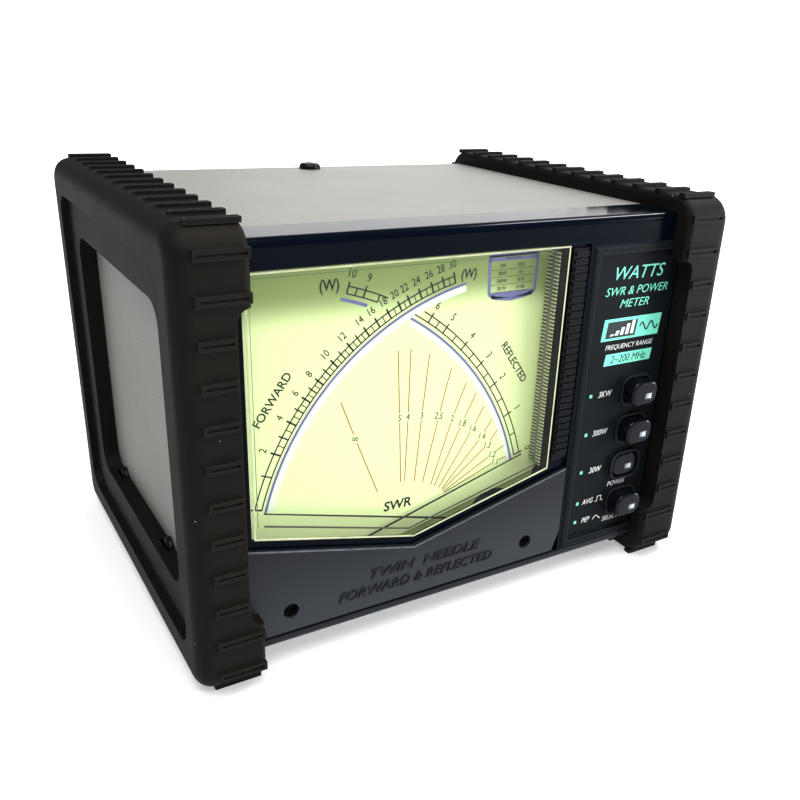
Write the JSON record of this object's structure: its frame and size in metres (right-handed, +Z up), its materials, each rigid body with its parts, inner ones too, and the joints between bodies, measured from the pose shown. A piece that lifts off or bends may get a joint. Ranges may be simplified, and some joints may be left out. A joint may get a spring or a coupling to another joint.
{
  "type": "swr meter",
  "caption": "Bench SWR and power meter with a crossed-needle dial, push-button panel and rubber corner guards on a metal case.",
  "frame": {"origin": "middle of the base of the bounding box, on the surface the guards stand on", "axes": "+X right seen from the front, front towards -Y, +Z up"},
  "size_m": [0.155, 0.1264, 0.1115],
  "materials": {
    "guard_rubber": "moulded matt rubber",
    "cover_paint": "satin light grey",
    "chassis_steel": "plated sheet",
    "bezel_plastic": "gloss navy",
    "fascia_plastic": "satin slate",
    "panel_plastic": "satin charcoal",
    "window_clear": "clear moulding",
    "guide_pale": "translucent pale yellow-green",
    "dial_print": "printed pale yellow-green",
    "meter_black": "moulded black",
    "soft_iron": "machined",
    "magnet": "sintered",
    "brass_parts": "turned",
    "coil_wire": "enamelled copper winding",
    "needle_paint": "matt black",
    "spring_bronze": "spring bronze",
    "spring_steel": "drawn wire",
    "screw_black": "black oxide",
    "screw_brass": "slotted",
    "button_plastic": "gloss smoke navy",
    "switch_white": "moulded",
    "switch_black": "moulded",
    "steel_plated": "zinc plated",
    "board_green": "laminate",
    "nickel": "nickel plated",
    "ptfe": "white insulator",
    "ferrite": "sintered",
    "lamp_glass": "clear lamp",
    "lead_jacket": "extruded jacket",
    "inlet_plastic": "moulded"
  },
  "bodies": {
    "root": {"guard_left": "guard_rubber", "guard_right": "guard_rubber", "top_cover": "cover_paint", "chassis": "chassis_steel", "case_screws": "screw_black", "front_bezel": "bezel_plastic", "lower_fascia": "fascia_plastic", "ribbed_strip": "meter_black", "control_panel": "panel_plastic", "meter_window": "window_clear", "dial_plate": "dial_print", "light_guide": "guide_pale", "meter_case": "meter_black", "lamps": "lamp_glass", "jewel_screws": "brass_parts", "switch_frame": "steel_plated", "switch_bodies": "switch_black", "switch_board": "board_green", "coupler_box": "steel_plated", "coupler_lid": "steel_plated", "socket_transmitter": "nickel", "socket_antenna": "nickel", "socket_insulators": "ptfe", "socket_contacts": "brass_parts", "socket_screws": "nickel", "through_line": "brass_parts", "toroid_core": "ferrite", "coupler_board": "board_green", "dc_inlet": "inlet_plastic", "leads": "lead_jacket", "yoke_forward": "soft_iron", "core_forward": "magnet", "bridges_forward": "steel_plated", "yoke_reflected": "soft_iron", "core_reflected": "magnet", "bridges_reflected": "steel_plated"},
    "zero_screw_forward": {"zero_screw_forward": "screw_brass"},
    "zero_arm_forward": {"zero_arm_forward": "spring_bronze"},
    "needle_forward": {"needle_forward": "needle_paint", "coil_forward": "coil_wire", "hairspring_forward": "spring_bronze"},
    "zero_screw_reflected": {"zero_screw_reflected": "screw_brass"},
    "zero_arm_reflected": {"zero_arm_reflected": "spring_bronze"},
    "needle_reflected": {"needle_reflected": "needle_paint", "coil_reflected": "coil_wire", "hairspring_reflected": "spring_bronze"},
    "button_high_range": {"button_high_range": "button_plastic", "plunger_high_range": "switch_white", "return_spring_high_range": "spring_steel"},
    "button_middle_range": {"button_middle_range": "button_plastic", "plunger_middle_range": "switch_white", "return_spring_middle_range": "spring_steel"},
    "button_low_range": {"button_low_range": "button_plastic", "plunger_low_range": "switch_white", "return_spring_low_range": "spring_steel"},
    "button_averaging": {"button_averaging": "button_plastic", "plunger_averaging": "switch_white", "return_spring_averaging": "spring_steel"},
    "interlock_bar": {"interlock_bar": "spring_steel"}
  },
  "joints": [
    {"name": "zero_screw_forward_turn", "type": "hinge", "parent": "root", "child": "zero_screw_forward", "pos_m": [0.0198, -0.05525, 0.0148], "axis": [0, 1, 0], "range_deg": [-45, 45]},
    {"name": "zero_arm_forward_turn", "type": "hinge", "parent": "root", "child": "zero_arm_forward", "pos_m": [0.0129, -0.05125, 0.0214], "axis": [0, 1, 0], "range_deg": [-12, 12]},
    {"name": "needle_forward_swing", "type": "hinge", "parent": "zero_arm_forward", "child": "needle_forward", "pos_m": [0.0129, -0.05125, 0.0214], "axis": [0, 1, 0], "range_deg": [0, 66], "stiffness_Nm_per_rad": 0.0002, "springref_deg": -20.05},
    {"name": "zero_screw_reflected_turn", "type": "hinge", "parent": "root", "child": "zero_screw_reflected", "pos_m": [-0.0524, -0.05525, 0.0148], "axis": [0, 1, 0], "range_deg": [-45, 45]},
    {"name": "zero_arm_reflected_turn", "type": "hinge", "parent": "root", "child": "zero_arm_reflected", "pos_m": [-0.0548, -0.05125, 0.0185], "axis": [0, 1, 0], "range_deg": [-12, 12]},
    {"name": "needle_reflected_swing", "type": "hinge", "parent": "zero_arm_reflected", "child": "needle_reflected", "pos_m": [-0.0548, -0.05125, 0.0185], "axis": [0, -1, 0], "range_deg": [0, 48], "stiffness_Nm_per_rad": 0.0002, "springref_deg": -20.05},
    {"name": "button_high_range_push", "type": "slide", "parent": "root", "child": "button_high_range", "axis": [0, 1, 0], "range_m": [0, 0.004], "stiffness_N_per_m": 250, "springref_m": -0.004, "deforming": ["return_spring_high_range"]},
    {"name": "button_middle_range_push", "type": "slide", "parent": "root", "child": "button_middle_range", "axis": [0, 1, 0], "range_m": [0, 0.004], "stiffness_N_per_m": 250, "springref_m": -0.004, "deforming": ["return_spring_middle_range"]},
    {"name": "button_low_range_push", "type": "slide", "parent": "root", "child": "button_low_range", "axis": [0, 1, 0], "range_m": [-0.004, 0], "deforming": ["return_spring_low_range"]},
    {"name": "button_averaging_push", "type": "slide", "parent": "root", "child": "button_averaging", "axis": [0, 1, 0], "range_m": [0, 0.004], "stiffness_N_per_m": 250, "springref_m": -0.004, "deforming": ["return_spring_averaging"]},
    {"name": "interlock_shift", "type": "slide", "parent": "root", "child": "interlock_bar", "axis": [0, 0, -1], "range_m": [0, 0.0012], "stiffness_N_per_m": 400, "springref_m": -0.002}
  ],
  "couplings": [
    {"joint": "zero_arm_forward_turn", "follows": "zero_screw_forward_turn", "ratio": 0.0683},
    {"joint": "zero_arm_reflected_turn", "follows": "zero_screw_reflected_turn", "ratio": 0.137}
  ]
}
